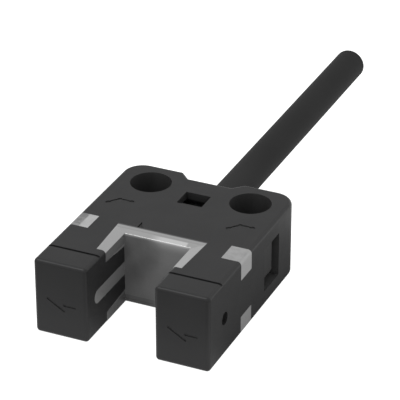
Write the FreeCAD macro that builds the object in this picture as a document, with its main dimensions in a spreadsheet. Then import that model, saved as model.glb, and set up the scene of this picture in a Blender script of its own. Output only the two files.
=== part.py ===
import FreeCAD, Part
import math
import os
import Sketcher

# Fork sensor: a light barrier whose two arms look at each other across a slot.
# The origin is at the middle of the underside. X runs across the fork, +Y from the fork's open end to the
# cable, +Z up. All sizes are millimetres.

SIZES = {
    # Housing, outside
    "body_width": 13.8,
    "body_depth": 16.45,
    "body_height": 6.1,
    "edge_round": 0.3,
    "rear_corner": 1.6,
    "slot_width": 5.3,
    "slot_depth": 6.17,
    "recess_width": 3.5,
    "recess_depth": 0.8,
    # Housing, walls
    "side_wall": 0.7,
    "front_wall": 0.8,
    "rear_wall": 0.8,
    "top_wall": 0.6,
    "slot_wall": 0.35,
    "seat_ledge": 0.15,
    "cavity_from_rear": 3.6,
    "channel_width": 3.5,
    # Mounting holes
    "hole_diameter": 3.2,
    "hole_spacing": 8.2,
    "hole_from_rear": 2.6,
    "boss_wall": 0.45,
    # Windows and marks of the housing
    "axis_from_front": 2.25,
    "groove_width": 0.22,
    "groove_depth": 0.15,
    "peg_diameter": 1.0,
    "peg_from_front": 2.7,
    "peg_recess": 0.3,
    "mark_depth": 0.08,
    "mark_stroke": 0.18,
    "arc_mark_spacing": 9.8,
    "arc_mark_from_rear": 6.35,
    "arc_mark_length": 1.75,
    "arc_mark_rise": 0.4,
    "arc_mark_turn": 25,
    "arc_mark_knob": 0.42,
    "tick_width": 0.45,
    "tick_length": 0.87,
    "tick_from_middle": 1.85,
    "front_mark_length": 1.65,
    "front_mark_turn": 31,
    "front_mark_shift": 0.38,
    "front_mark_drop": 0.37,
    "front_bar_length": 1.0,
    "front_bar_shift": 0.72,
    "front_bar_drop": 0.29,
    "top_window_width": 2.0,
    "top_window_length": 1.8,
    "top_window_from_rear": 4.68,
    "latch_window_length": 2.75,
    "latch_window_height": 3.55,
    "latch_window_from_rear": 6.5,
    # Fork lining
    "rim_from_front": 3.12,
    "rim_width_front": 0.71,
    "rim_width_back": 0.93,
    "rim_flat": 0.1,
    "rim_drop": 0.18,
    "back_wall": 1.0,
    "back_rim_flat": 0.4,
    "back_rim_round": 0.25,
    "beam_window_height": 1.1,
    "beam_window_from_front": 1.23,
    "tongue_edge_front": 0.94,
    "tongue_edge_back": 1.23,
    "cheek_from_front": 1.0,
    # Light guides
    "guide_length": 1.9,
    "guide_from_front": 5.6,
    "guide_reach": 1.57,
    "guide_drop": 1.52,
    # Base cover, carrier and board
    "fit_gap": 0.05,
    "cover_thickness": 0.6,
    "carrier_thickness": 0.7,
    "carrier_inset": 0.1,
    "carrier_window_width": 4.6,
    "carrier_window_length": 1.8,
    "carrier_rail": 0.9,
    "board_thickness": 0.6,
    "board_peg_diameter": 0.6,
    "board_peg_inset": 0.73,
    "board_peg_from_rear": 5.45,
    "latch_arm_thickness": 0.35,
    "latch_root_length": 0.9,
    "latch_nose_length": 1.7,
    "latch_nose_fall": 0.12,
    "latch_nose_lift": 0.65,
    "latch_nose_bevel": 0.3,
    "latch_nose_bevel_height": 0.6,
    # Optical parts
    "diode_width": 2.0,
    "diode_play": 0.22,
    "lens_diameter": 1.3,
    "lens_reach": 0.35,
    "lens_round": 0.28,
    "holder_wall": 0.35,
    "slit_width": 0.5,
    "slit_height": 1.2,
    # Electronic parts
    "chip_length": 2.6,
    "chip_width": 1.5,
    "chip_height": 0.8,
    "chip_clearance": 0.25,
    "small_chip_length": 1.9,
    "small_chip_width": 1.2,
    "small_chip_height": 0.7,
    "small_chip_spacing": 6.0,
    "transistor_length": 1.25,
    "transistor_width": 0.9,
    "led_length": 1.2,
    "led_width": 0.7,
    "led_height": 0.5,
    "passive_length": 1.0,
    "passive_width": 0.5,
    "passive_height": 0.4,
    "leg_reach": 0.3,
    "leg_width": 0.25,
    # Cable
    "cable_diameter": 2.6,
    "cable_run": 30.1,
    "cable_inside": 1.7,
    "clamp_length": 0.8,
    "clamp_nose_length": 0.6,
    "clamp_nose_sink": 0.35,
    "clamp_arm_thickness": 0.5,
    "clamp_arm_drop": 0.5,
    "wire_diameter": 0.6,
    "wire_pitch": 0.84,
    "pad_pitch": 1.0,
    "pad_from_rear": 4.85,
    "solder_radius": 0.45,
}

doc = FreeCAD.newDocument("fork_sensor")
sheet = doc.addObject("Spreadsheet::Sheet", "dims")
for row, (name, value) in enumerate(SIZES.items(), 1):
    sheet.set(f"A{row}", name)
    sheet.set(f"B{row}", str(value))
    sheet.setAlias(f"B{row}", name)
doc.recompute()

# Places that several pieces share, as expressions on the sheet
FRONT = "-dims.body_depth / 2"
REAR = "dims.body_depth / 2"
SIDE = "dims.body_width / 2"
TOP = "dims.body_height"
AXIS = "dims.body_height / 2"
SLOT_SIDE = "dims.slot_width / 2"
SLOT_BACK = "-dims.body_depth / 2 + dims.slot_depth"
CHEEK_SIDE = f"{SLOT_SIDE} + dims.slot_wall"
RIM_FRONT = "-dims.body_depth / 2 + dims.rim_from_front"
RIM_FRONT_SIDE = f"{SLOT_SIDE} + dims.rim_width_front"
RIM_BACK_SIDE = f"{SLOT_SIDE} + dims.rim_width_back"
RIM_BACK = f"{SLOT_BACK} + dims.back_wall"
RECESS_FLOOR = "dims.body_depth / 2 - dims.recess_depth"
HOLE_X = "dims.hole_spacing / 2"
HOLE_Y = "dims.body_depth / 2 - dims.hole_from_rear"
BOSS_RADIUS = "dims.hole_diameter / 2 + dims.boss_wall"
CAVITY_FRONT = "-dims.body_depth / 2 + dims.front_wall"
CAVITY_REAR = "dims.body_depth / 2 - dims.cavity_from_rear"
CHANNEL_SIDE = "dims.channel_width / 2"
CHANNEL_REAR = f"{RECESS_FLOOR} - dims.rear_wall"
GUIDE_FRONT = "-dims.body_depth / 2 + dims.guide_from_front"
GUIDE_REAR = f"{GUIDE_FRONT} + dims.guide_length"
GUIDE_INNER = "dims.body_width / 2 - dims.guide_reach"
CAVITY_SIDE = "dims.body_width / 2 - dims.side_wall - dims.seat_ledge"
BOARD_BOTTOM = "dims.cover_thickness + dims.carrier_thickness"
BOARD_TOP = f"{BOARD_BOTTOM} + dims.board_thickness"
OPTICAL_Y = "-dims.body_depth / 2 + dims.axis_from_front"
TOP_WINDOW_FRONT = "dims.body_depth / 2 - dims.top_window_from_rear"
LATCH_FRONT = "dims.body_depth / 2 - dims.latch_window_from_rear"
PAD_Y = "dims.body_depth / 2 - dims.pad_from_rear"
BOTTOM = "0"
MIDDLE = "0"


def size(name):
    return float(sheet.get(name))


def minus(expression):
    return f"-({expression})"


# Sketches


def sketch_on(body, name, plane, offset=None):
    """A sketch on one of the body's own origin planes, offset along that plane's normal."""
    sketch = body.newObject("Sketcher::SketchObject", name)
    support = next(item for item in body.Origin.OriginFeatures if item.Role == plane)
    sketch.AttachmentSupport = (support, [""])
    sketch.MapMode = "FlatFace"
    if offset:
        sketch.setExpression("AttachmentOffset.Base.z", offset)
    return sketch


def place_point(sketch, geometry, end, point, start):
    """Ties one end of a line, or a circle's centre, to a pair of expressions."""
    for kind, expression, value in zip(("DistanceX", "DistanceY"), point, start):
        index = sketch.addConstraint(Sketcher.Constraint(kind, geometry, end, value))
        sketch.setExpression(f"Constraints[{index}]", expression)


def outline(sketch, points):
    """A closed outline of straight lines through points, each a pair of expressions."""
    first = sketch.GeometryCount
    count = len(points)
    turn = 2 * math.pi / count
    ring = [FreeCAD.Vector(math.cos(turn * i), math.sin(turn * i), 0) for i in range(count)]
    for i in range(count):
        sketch.addGeometry(Part.LineSegment(ring[i], ring[(i + 1) % count]), False)
    for i in range(count):
        sketch.addConstraint(Sketcher.Constraint("Coincident", first + i, 2, first + (i + 1) % count, 1))
    for i, point in enumerate(points):
        place_point(sketch, first + i, 1, point, (ring[i].x, ring[i].y))


def rectangle(sketch, low, high):
    """A rectangle between two corners, each a pair of expressions."""
    outline(sketch, [low, (high[0], low[1]), high, (low[0], high[1])])


def circle(sketch, centre, radius):
    """A circle with its centre and radius given as expressions."""
    index = sketch.addGeometry(Part.Circle(FreeCAD.Vector(1, 1, 0), FreeCAD.Vector(0, 0, 1), 1), False)
    place_point(sketch, index, 3, centre, (1, 1))
    constraint = sketch.addConstraint(Sketcher.Constraint("Radius", index, 1))
    sketch.setExpression(f"Constraints[{constraint}]", radius)


# Features


def grow(body, kind, sketch, length, reverse=False):
    """A Pad or Pocket of the sketch."""
    feature = body.newObject(f"PartDesign::{kind}", f"{kind}_{sketch.Name}")
    feature.Profile = sketch
    feature.setExpression("Length", length)
    feature.Reversed = reverse
    return feature


def through(body, sketch):
    """A Pocket of the sketch right through the body, both ways."""
    feature = body.newObject("PartDesign::Pocket", f"Pocket_{sketch.Name}")
    feature.Profile = sketch
    feature.Type = "ThroughAll"
    feature.Midplane = True
    return feature


def mirrored(body, features):
    """The features once more on the left side."""
    mirror = body.newObject("PartDesign::Mirrored", f"Mirror_{features[0].Name}")
    mirror.Originals = features
    side_plane = next(item for item in body.Origin.OriginFeatures if item.Role == "YZ_Plane")
    mirror.MirrorPlane = (side_plane, [""])
    body.Tip = mirror
    return mirror


def rounded(body, name, radius, wanted):
    """A fillet of the edges for which wanted(low corner, high corner) holds."""
    doc.recompute()
    base = body.Tip
    names = []
    for index, edge in enumerate(base.Shape.Edges, 1):
        box = edge.BoundBox
        if wanted((box.XMin, box.YMin, box.ZMin), (box.XMax, box.YMax, box.ZMax)):
            names.append(f"Edge{index}")
    fillet = body.newObject("PartDesign::Fillet", name)
    fillet.Base = (base, names)
    fillet.setExpression("Radius", radius)
    return fillet


def near(first, second):
    return abs(first - second) < 0.001


def new_body(name):
    body = doc.addObject("PartDesign::Body", name)
    body.Label = name
    return body


# Housing


def inner_outline(side_inset):
    """The cavity's outline: two arms, a room behind the slot and a channel towards the cable."""
    side = f"{SIDE} - dims.side_wall - ({side_inset})"
    half = [
        (CHEEK_SIDE, CAVITY_FRONT),
        (side, CAVITY_FRONT),
        (side, CAVITY_REAR),
        (CHANNEL_SIDE, CAVITY_REAR),
        (CHANNEL_SIDE, CHANNEL_REAR),
    ]
    left = [(minus(x), y) for x, y in reversed(half)]
    return half + left + [(minus(CHEEK_SIDE), SLOT_BACK), (CHEEK_SIDE, SLOT_BACK)]


def tongue_outline(upward):
    """One of the two black strips above and below the beam window, seen from the side."""

    def level(from_axis):
        return f"{AXIS} + ({from_axis})" if upward else f"{AXIS} - ({from_axis})"

    window_edge = level("dims.beam_window_height / 2")
    return [
        (RIM_FRONT, window_edge),
        (SLOT_BACK, window_edge),
        (SLOT_BACK, level("dims.body_height / 2 - dims.tongue_edge_back")),
        (RIM_FRONT, level("dims.body_height / 2 - dims.tongue_edge_front")),
    ]


# Places along an arc mark, from one end at -1 to the other at 1
ARC_STEPS = (-1, -0.6, -0.2, 0.2, 0.6, 1)


def turned_point(middle, along, aside, turn):
    """A point along and beside a direction that is turned by so many degrees about a middle."""
    return (f"{middle[0]} + ({along}) * cos({turn}) - ({aside}) * sin({turn})",
            f"{middle[1]} + ({along}) * sin({turn}) + ({aside}) * cos({turn})")


def arc_mark_point(middle, step, aside="0"):
    """A point of an arc mark's curved line, or beside it."""
    return turned_point(middle, f"dims.arc_mark_length / 2 * ({step})",
                        f"dims.arc_mark_rise * {1 - step * step} + ({aside})", "dims.arc_mark_turn")


def stroke_outline(middle, length, turn):
    """A straight mark of the common stroke width."""
    corners = ((-1, -1), (1, -1), (1, 1), (-1, 1))
    return [turned_point(middle, f"{end} * ({length}) / 2", f"{edge} * dims.mark_stroke / 2", turn)
            for end, edge in corners]


def cut_marks(body):
    """Shallow marks: two arcs with knobs and a tick on top, and two strokes on each arm's front."""
    top_marks = sketch_on(body, "top_marks", "XY_Plane", TOP)
    knobs = sketch_on(body, "arc_mark_knobs", "XY_Plane", TOP)
    front_marks = sketch_on(body, "front_marks", "XZ_Plane", minus(FRONT))
    for side in (1, -1):
        middle = (f"{side} * dims.arc_mark_spacing / 2", f"{REAR} - dims.arc_mark_from_rear")
        outline(top_marks, [arc_mark_point(middle, step, "dims.mark_stroke / 2") for step in ARC_STEPS] + [
            arc_mark_point(middle, step, "-dims.mark_stroke / 2") for step in reversed(ARC_STEPS)])
        for step in (-1, 0, 1):
            circle(knobs, arc_mark_point(middle, step), "dims.arc_mark_knob / 2")
        arm = f"{side} * ({SLOT_SIDE} + {SIDE}) / 2"
        slanted = (f"{arm} - dims.front_mark_shift", f"{AXIS} - dims.front_mark_drop")
        level = (f"{arm} + dims.front_bar_shift", f"{AXIS} - dims.front_bar_drop")
        outline(front_marks, stroke_outline(slanted, "dims.front_mark_length", "-dims.front_mark_turn"))
        outline(front_marks, stroke_outline(level, "dims.front_bar_length", "0"))
    tick_outer = "-dims.tick_from_middle - dims.tick_width / 2"
    outline(top_marks, [(tick_outer, RIM_BACK), ("-dims.tick_from_middle + dims.tick_width / 2", RIM_BACK),
                        (tick_outer, f"{RIM_BACK} + dims.tick_length")])
    for sketch in (top_marks, knobs, front_marks):
        grow(body, "Pocket", sketch, "dims.mark_depth")


def make_housing():
    body = new_body("housing")
    recess_side = "dims.recess_width / 2"
    plan = sketch_on(body, "housing_plan", "XY_Plane")
    half = [
        (SLOT_SIDE, FRONT),
        (SIDE, FRONT),
        (SIDE, REAR),
        (f"{recess_side} + dims.recess_depth", REAR),
        (recess_side, RECESS_FLOOR),
    ]
    slot = [(RIM_BACK_SIDE, RIM_BACK), (RIM_FRONT_SIDE, RIM_FRONT), (SLOT_SIDE, RIM_FRONT)]
    left = [(minus(x), y) for x, y in reversed(half)]
    slot_left = [(minus(x), y) for x, y in reversed(slot)]
    outline(plan, half + left + slot_left + slot)
    grow(body, "Pad", plan, TOP)

    side, rear, top = size("body_width") / 2, size("body_depth") / 2, size("body_height")
    front = -rear
    rounded(body, "rear_corners", "dims.rear_corner", lambda low, high: near(low[1], rear) and near(
        high[1], rear) and near(max(abs(low[0]), abs(high[0])), side) and near(low[0], high[0]))
    rounded(body, "front_corners", "dims.edge_round", lambda low, high: near(high[1], front) and near(
        low[0], high[0]) and near(low[2], 0))
    rim_front = front + size("rim_from_front")
    rim_back = front + size("slot_depth") + size("back_wall")
    rim_side = size("slot_width") / 2 + size("rim_width_back")

    def outer_edge(low, high):
        flat = near(low[2], high[2]) and (near(low[2], 0) or near(low[2], top))
        middle_x, middle_y = (low[0] + high[0]) / 2, (low[1] + high[1]) / 2
        at_rim = rim_front - 0.001 <= middle_y <= rim_back + 0.001 and abs(middle_x) <= rim_side
        return flat and not at_rim

    rounded(body, "outer_edges", "dims.edge_round", outer_edge)

    cavity = sketch_on(body, "cavity", "XY_Plane")
    outline(cavity, inner_outline("dims.seat_ledge"))
    grow(body, "Pocket", cavity, f"{TOP} - dims.top_wall", True)
    seat = sketch_on(body, "cover_seat", "XY_Plane")
    outline(seat, inner_outline("0"))
    grow(body, "Pocket", seat, "dims.cover_thickness", True)

    bosses = sketch_on(body, "bosses", "XY_Plane")
    holes = sketch_on(body, "mounting_holes", "XY_Plane")
    for x in (HOLE_X, minus(HOLE_X)):
        circle(bosses, (x, HOLE_Y), BOSS_RADIUS)
        circle(holes, (x, HOLE_Y), "dims.hole_diameter / 2")
    grow(body, "Pad", bosses, TOP)
    through(body, holes)

    cable_hole = sketch_on(body, "cable_hole", "XZ_Plane", minus(REAR))
    circle(cable_hole, (MIDDLE, AXIS), "dims.cable_diameter / 2")
    grow(body, "Pocket", cable_hole, f"{REAR} - ({CAVITY_REAR})", True)

    top_window = sketch_on(body, "top_window", "XY_Plane", TOP)
    rectangle(top_window, ("-dims.top_window_width / 2", TOP_WINDOW_FRONT),
              ("dims.top_window_width / 2", f"{TOP_WINDOW_FRONT} + dims.top_window_length"))
    grow(body, "Pocket", top_window, "dims.top_wall + dims.fit_gap")
    cut_marks(body)

    doc.recompute()
    right_side = []
    latch_window = sketch_on(body, "latch_window", "YZ_Plane", SIDE)
    rectangle(latch_window, (LATCH_FRONT, f"{AXIS} - dims.latch_window_height / 2"),
              (f"{LATCH_FRONT} + dims.latch_window_length", f"{AXIS} + dims.latch_window_height / 2"))
    right_side.append(grow(body, "Pocket", latch_window, "dims.side_wall + dims.seat_ledge"))
    peg_hole = sketch_on(body, "peg_hole", "YZ_Plane", SIDE)
    circle(peg_hole, (f"{FRONT} + dims.peg_from_front", AXIS), "dims.peg_diameter / 2")
    right_side.append(grow(body, "Pocket", peg_hole, "dims.side_wall + dims.seat_ledge"))
    groove = sketch_on(body, "axis_groove", "XY_Plane", TOP)
    rectangle(groove, (SLOT_SIDE, f"{OPTICAL_Y} - dims.groove_width / 2"),
              (SIDE, f"{OPTICAL_Y} + dims.groove_width / 2"))
    right_side.append(grow(body, "Pocket", groove, "dims.groove_depth"))
    guide_notch = sketch_on(body, "guide_notch", "XZ_Plane", minus(GUIDE_REAR))
    rectangle(guide_notch, (GUIDE_INNER, BOTTOM), (SIDE, "dims.guide_drop"))
    rectangle(guide_notch, (GUIDE_INNER, f"{TOP} - dims.guide_drop"), (SIDE, TOP))
    right_side.append(grow(body, "Pocket", guide_notch, "dims.guide_length", True))
    beam_window = sketch_on(body, "beam_window", "YZ_Plane", SLOT_SIDE)
    tip = f"{FRONT} + dims.beam_window_from_front + dims.beam_window_height / 2"
    rectangle(beam_window, (tip, f"{AXIS} - dims.beam_window_height / 2"),
              (RIM_FRONT, f"{AXIS} + dims.beam_window_height / 2"))
    right_side.append(grow(body, "Pocket", beam_window, "dims.slot_wall", True))
    window_tip = sketch_on(body, "beam_window_tip", "YZ_Plane", SLOT_SIDE)
    circle(window_tip, (tip, AXIS), "dims.beam_window_height / 2")
    right_side.append(grow(body, "Pocket", window_tip, "dims.slot_wall", True))
    tongues = sketch_on(body, "tongues", "YZ_Plane", SLOT_SIDE)
    outline(tongues, tongue_outline(True))
    outline(tongues, tongue_outline(False))
    right_side.append(grow(body, "Pad", tongues, "dims.slot_wall"))
    mirrored(body, right_side)
    return body


def rounded_corner(sketch, corner, up):
    """What a rounding takes off the back wall's edge, between the upright wall and the rim's slope."""
    slope = "(dims.rim_drop / (dims.back_wall - dims.back_rim_flat))"
    steep = f"sqrt(1 + {slope} ^ 2)"
    sign = "+" if up > 0 else "-"
    on_wall = (corner[0], f"{corner[1]} {sign} dims.back_rim_round * ({slope} - {steep})")
    on_slope = (f"{corner[0]} + dims.back_rim_round * (1 - {slope} / {steep})",
                f"{corner[1]} {sign} dims.back_rim_round * ({slope} - {steep} + 1 / {steep})")
    centre = FreeCAD.Vector(1, -up, 0)
    turns = (math.pi / 2, math.pi) if up > 0 else (math.pi, 3 * math.pi / 2)
    wall_end, slope_end = (2, 1) if up > 0 else (1, 2)
    arc = Part.ArcOfCircle(Part.Circle(centre, FreeCAD.Vector(0, 0, 1), 1), *turns)
    sketch.addGeometry([
        Part.LineSegment(FreeCAD.Vector(0, -up, 0), FreeCAD.Vector(0, 0, 0)),
        Part.LineSegment(FreeCAD.Vector(0, 0, 0), FreeCAD.Vector(1, 0, 0)),
        arc,
    ], False)
    sketch.addConstraint(Sketcher.Constraint("Coincident", 0, 2, 1, 1))
    sketch.addConstraint(Sketcher.Constraint("Coincident", 0, 1, 2, wall_end))
    sketch.addConstraint(Sketcher.Constraint("Coincident", 1, 2, 2, slope_end))
    radius = sketch.addConstraint(Sketcher.Constraint("Radius", 2, 1))
    sketch.setExpression(f"Constraints[{radius}]", "dims.back_rim_round")
    place_point(sketch, 0, 1, on_wall, (0, -up))
    place_point(sketch, 0, 2, corner, (0, 0))
    place_point(sketch, 1, 2, on_slope, (1, 0))


def make_fork_lining():
    body = new_body("fork_lining")
    plan = sketch_on(body, "lining_plan", "XY_Plane")
    half = [
        (SLOT_SIDE, SLOT_BACK),
        (SLOT_SIDE, RIM_FRONT),
        (RIM_FRONT_SIDE, RIM_FRONT),
        (RIM_BACK_SIDE, RIM_BACK),
    ]
    outline(plan, half + [(minus(x), y) for x, y in reversed(half)])
    grow(body, "Pad", plan, TOP)

    beyond = f"{RIM_FRONT} - dims.rim_width_front"
    for name, deep, flush in (
        ("upper", f"{TOP} - dims.rim_drop", TOP),
        ("lower", "dims.rim_drop", BOTTOM),
    ):
        inner = sketch_on(body, f"{name}_rim_inner", "XY_Plane", deep)
        outline(inner, [(SLOT_SIDE, beyond), (SLOT_SIDE, SLOT_BACK), (minus(SLOT_SIDE), SLOT_BACK),
                        (minus(SLOT_SIDE), beyond)])
        outer = sketch_on(body, f"{name}_rim_outer", "XY_Plane", flush)
        front_side = f"{RIM_FRONT_SIDE} - dims.rim_flat"
        back_side = f"{RIM_BACK_SIDE} - dims.rim_flat"
        back = f"{RIM_BACK} - dims.back_rim_flat"
        outline(outer, [(front_side, beyond), (back_side, back), (minus(back_side), back),
                        (minus(front_side), beyond)])
        slope = body.newObject("PartDesign::SubtractiveLoft", f"{name}_rim_slope")
        slope.Profile = inner
        slope.Sections = [outer]
        slope.Ruled = True

    doc.recompute()
    right_side = []
    cheek = sketch_on(body, "cheek", "YZ_Plane", CHEEK_SIDE)
    rectangle(cheek, (f"{FRONT} + dims.cheek_from_front", "dims.cover_thickness + dims.fit_gap"),
              (RIM_FRONT, f"{TOP} - dims.top_wall - dims.fit_gap"))
    right_side.append(grow(body, "Pad", cheek, "dims.rim_width_front - dims.slot_wall"))
    rib = sketch_on(body, "beam_rib", "YZ_Plane", SLOT_SIDE)
    tip = f"{FRONT} + dims.beam_window_from_front + dims.beam_window_height / 2"
    rectangle(rib, (tip, f"{AXIS} - dims.beam_window_height / 2"),
              (RIM_FRONT, f"{AXIS} + dims.beam_window_height / 2"))
    right_side.append(grow(body, "Pad", rib, "dims.slot_wall"))
    rib_tip = sketch_on(body, "beam_rib_tip", "YZ_Plane", SLOT_SIDE)
    circle(rib_tip, (tip, AXIS), "dims.beam_window_height / 2")
    right_side.append(grow(body, "Pad", rib_tip, "dims.slot_wall"))
    seats = sketch_on(body, "tongue_seats", "YZ_Plane", SLOT_SIDE)
    outline(seats, tongue_outline(True))
    outline(seats, tongue_outline(False))
    right_side.append(grow(body, "Pocket", seats, "dims.slot_wall", True))
    mirrored(body, right_side)
    for name, level, up in (("upper", f"{TOP} - dims.rim_drop", 1), ("lower", "dims.rim_drop", -1)):
        edge = sketch_on(body, f"{name}_back_edge", "YZ_Plane")
        rounded_corner(edge, (SLOT_BACK, level), up)
        cut = grow(body, "Pocket", edge, "dims.slot_width")
        cut.Midplane = True
    body.Tip = cut
    return body


def make_light_guide(name, sign):
    """A bracket-shaped guide whose two ends show at the top and the bottom corner of the housing."""

    def across(expression):
        return expression if sign > 0 else minus(expression)

    body = new_body(name)
    profile = sketch_on(body, f"{name}_profile", "XZ_Plane", minus(GUIDE_REAR))
    outline(profile, [
        (across(GUIDE_INNER), BOTTOM),
        (across(SIDE), BOTTOM),
        (across(SIDE), "dims.guide_drop"),
        (across(CAVITY_SIDE), "dims.guide_drop"),
        (across(CAVITY_SIDE), f"{TOP} - dims.guide_drop"),
        (across(SIDE), f"{TOP} - dims.guide_drop"),
        (across(SIDE), TOP),
        (across(GUIDE_INNER), TOP),
    ])
    grow(body, "Pad", profile, "dims.guide_length")
    side, top = sign * size("body_width") / 2, size("body_height")
    rounded(body, f"{name}_edges", "dims.edge_round", lambda low, high: near(low[0], side) and near(
        high[0], side) and near(low[2], high[2]) and (near(low[2], 0) or near(low[2], top)))
    return body


def make_base_cover():
    body = new_body("base_cover")
    gap = "dims.fit_gap"
    plan = sketch_on(body, "cover_plan", "XY_Plane")
    side = f"{SIDE} - dims.side_wall - {gap}"
    half = [
        (f"{CHEEK_SIDE} + {gap}", f"{CAVITY_FRONT} + {gap}"),
        (side, f"{CAVITY_FRONT} + {gap}"),
        (side, f"{GUIDE_FRONT} - {gap}"),
        (f"{GUIDE_INNER} - {gap}", f"{GUIDE_FRONT} - {gap}"),
        (f"{GUIDE_INNER} - {gap}", f"{GUIDE_REAR} + {gap}"),
        (side, f"{GUIDE_REAR} + {gap}"),
        (side, f"{CAVITY_REAR} - {gap}"),
        (f"{CHANNEL_SIDE} - {gap}", f"{CAVITY_REAR} - {gap}"),
        (f"{CHANNEL_SIDE} - {gap}", f"{CHANNEL_REAR} - {gap}"),
    ]
    fork = [
        (f"{RIM_BACK_SIDE} + {gap}", f"{RIM_BACK} + {gap}"),
        (f"{RIM_FRONT_SIDE} + {gap}", f"{RIM_FRONT} - {gap}"),
        (f"{CHEEK_SIDE} + {gap}", f"{RIM_FRONT} - {gap}"),
    ]
    left = [(minus(x), y) for x, y in reversed(half)]
    fork_left = [(minus(x), y) for x, y in reversed(fork)]
    outline(plan, half + left + fork_left + fork)
    grow(body, "Pad", plan, "dims.cover_thickness")
    clearances = sketch_on(body, "cover_boss_clearances", "XY_Plane")
    for x in (HOLE_X, minus(HOLE_X)):
        circle(clearances, (x, HOLE_Y), f"{BOSS_RADIUS} + {gap}")
    through(body, clearances)
    return body


def flat_frame(body, name, bottom, thickness, inset):
    """A U-shaped plate in the cavity, clear of the lining, the light guides and the bosses."""
    plan = sketch_on(body, f"{name}_plan", "XY_Plane", bottom)
    inner = f"{RIM_BACK_SIDE} + {inset}"
    side = f"{CAVITY_SIDE} - {inset}"
    guide = f"{GUIDE_INNER} - {inset}"
    half = [
        (inner, f"{CAVITY_FRONT} + {inset}"),
        (side, f"{CAVITY_FRONT} + {inset}"),
        (side, f"{GUIDE_FRONT} - {inset}"),
        (guide, f"{GUIDE_FRONT} - {inset}"),
        (guide, f"{CAVITY_REAR} - {inset}"),
        (f"{CHANNEL_SIDE} - {inset}", f"{CAVITY_REAR} - {inset}"),
        (f"{CHANNEL_SIDE} - {inset}", f"{REAR} - dims.recess_depth - dims.cable_inside - {inset}"),
    ]
    left = [(minus(x), y) for x, y in reversed(half)]
    outline(plan, half + left + [(minus(inner), f"{RIM_BACK} + {inset}"), (inner, f"{RIM_BACK} + {inset}")])
    grow(body, "Pad", plan, thickness)
    clearances = sketch_on(body, f"{name}_boss_clearances", "XY_Plane")
    for x in (HOLE_X, minus(HOLE_X)):
        circle(clearances, (x, HOLE_Y), f"{BOSS_RADIUS} + dims.carrier_inset")
    through(body, clearances)


BOARD_PEG_X = f"{GUIDE_INNER} - dims.board_peg_inset"
BOARD_PEG_Y = f"{REAR} - dims.board_peg_from_rear"


def make_inner_carrier():
    body = new_body("inner_carrier")
    flat_frame(body, "carrier", "dims.cover_thickness", "dims.carrier_thickness", "dims.carrier_inset")
    window = sketch_on(body, "carrier_window", "XY_Plane")
    window_front = f"{RIM_BACK} + dims.carrier_rail"
    rectangle(window, ("-dims.carrier_window_width / 2", window_front),
              ("dims.carrier_window_width / 2", f"{window_front} + dims.carrier_window_length"))
    through(body, window)
    pegs = sketch_on(body, "board_pegs", "XY_Plane", BOARD_BOTTOM)
    for x in (BOARD_PEG_X, minus(BOARD_PEG_X)):
        circle(pegs, (x, BOARD_PEG_Y), "dims.board_peg_diameter / 2")
    grow(body, "Pad", pegs, "dims.board_thickness + dims.fit_gap")

    doc.recompute()
    right_side = []
    arm_outer = f"{CAVITY_SIDE} - dims.fit_gap"
    arm_inner = f"{arm_outer} - dims.latch_arm_thickness"
    low = f"{AXIS} - dims.latch_window_height / 2 + dims.fit_gap"
    high = f"{AXIS} + dims.latch_window_height / 2 - dims.fit_gap"
    arm_front = f"{GUIDE_REAR} + dims.carrier_inset"
    nose_front = f"{LATCH_FRONT} + dims.fit_gap"
    nose_rear = f"{nose_front} + dims.latch_nose_length"
    root = sketch_on(body, "latch_root", "XY_Plane", "dims.cover_thickness")
    rectangle(root, (f"{GUIDE_INNER} - dims.carrier_inset", arm_front),
              (arm_outer, f"{arm_front} + dims.latch_root_length"))
    right_side.append(grow(body, "Pad", root, f"{high} - dims.cover_thickness"))
    arm = sketch_on(body, "latch_arm", "XY_Plane", low)
    rectangle(arm, (arm_inner, f"{arm_front} + dims.latch_root_length"),
              (arm_outer, nose_rear))
    right_side.append(grow(body, "Pad", arm, f"{high} - ({low})"))
    nose_low = f"{low} + dims.latch_nose_lift"
    nose = sketch_on(body, "latch_nose", "XY_Plane", nose_low)
    outline(nose, [(arm_outer, nose_front), (f"{SIDE} - dims.fit_gap", nose_front),
                   (f"{SIDE} - dims.fit_gap - dims.latch_nose_fall", nose_rear), (arm_outer, nose_rear)])
    right_side.append(grow(body, "Pad", nose, f"{high} - ({nose_low})"))
    bevel = sketch_on(body, "latch_nose_bevel", "XZ_Plane", minus(nose_rear))
    outline(bevel, [(f"{SIDE} - dims.latch_nose_bevel", nose_low), (SIDE, nose_low),
                    (SIDE, f"{nose_low} + dims.latch_nose_bevel_height")])
    right_side.append(grow(body, "Pocket", bevel, "dims.latch_nose_length", True))
    mirrored(body, right_side)
    return body


def make_circuit_board():
    body = new_body("circuit_board")
    flat_frame(body, "board", BOARD_BOTTOM, "dims.board_thickness", "dims.carrier_inset * 2")
    peg_holes = sketch_on(body, "board_peg_holes", "XY_Plane")
    for x in (BOARD_PEG_X, minus(BOARD_PEG_X)):
        circle(peg_holes, (x, BOARD_PEG_Y), "dims.board_peg_diameter / 2")
    through(body, peg_holes)
    return body


# Optical parts in the arm tips

DIODE_INNER = f"{RIM_FRONT_SIDE} + dims.fit_gap + dims.holder_wall + dims.lens_reach"
DIODE_OUTER = f"{CAVITY_SIDE} - dims.fit_gap - dims.holder_wall - dims.diode_play"
HOLDER_REAR = f"{OPTICAL_Y} + dims.diode_width / 2 + dims.fit_gap + dims.holder_wall"
HOLDER_TOP = f"{TOP} - dims.top_wall - dims.fit_gap"


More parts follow.
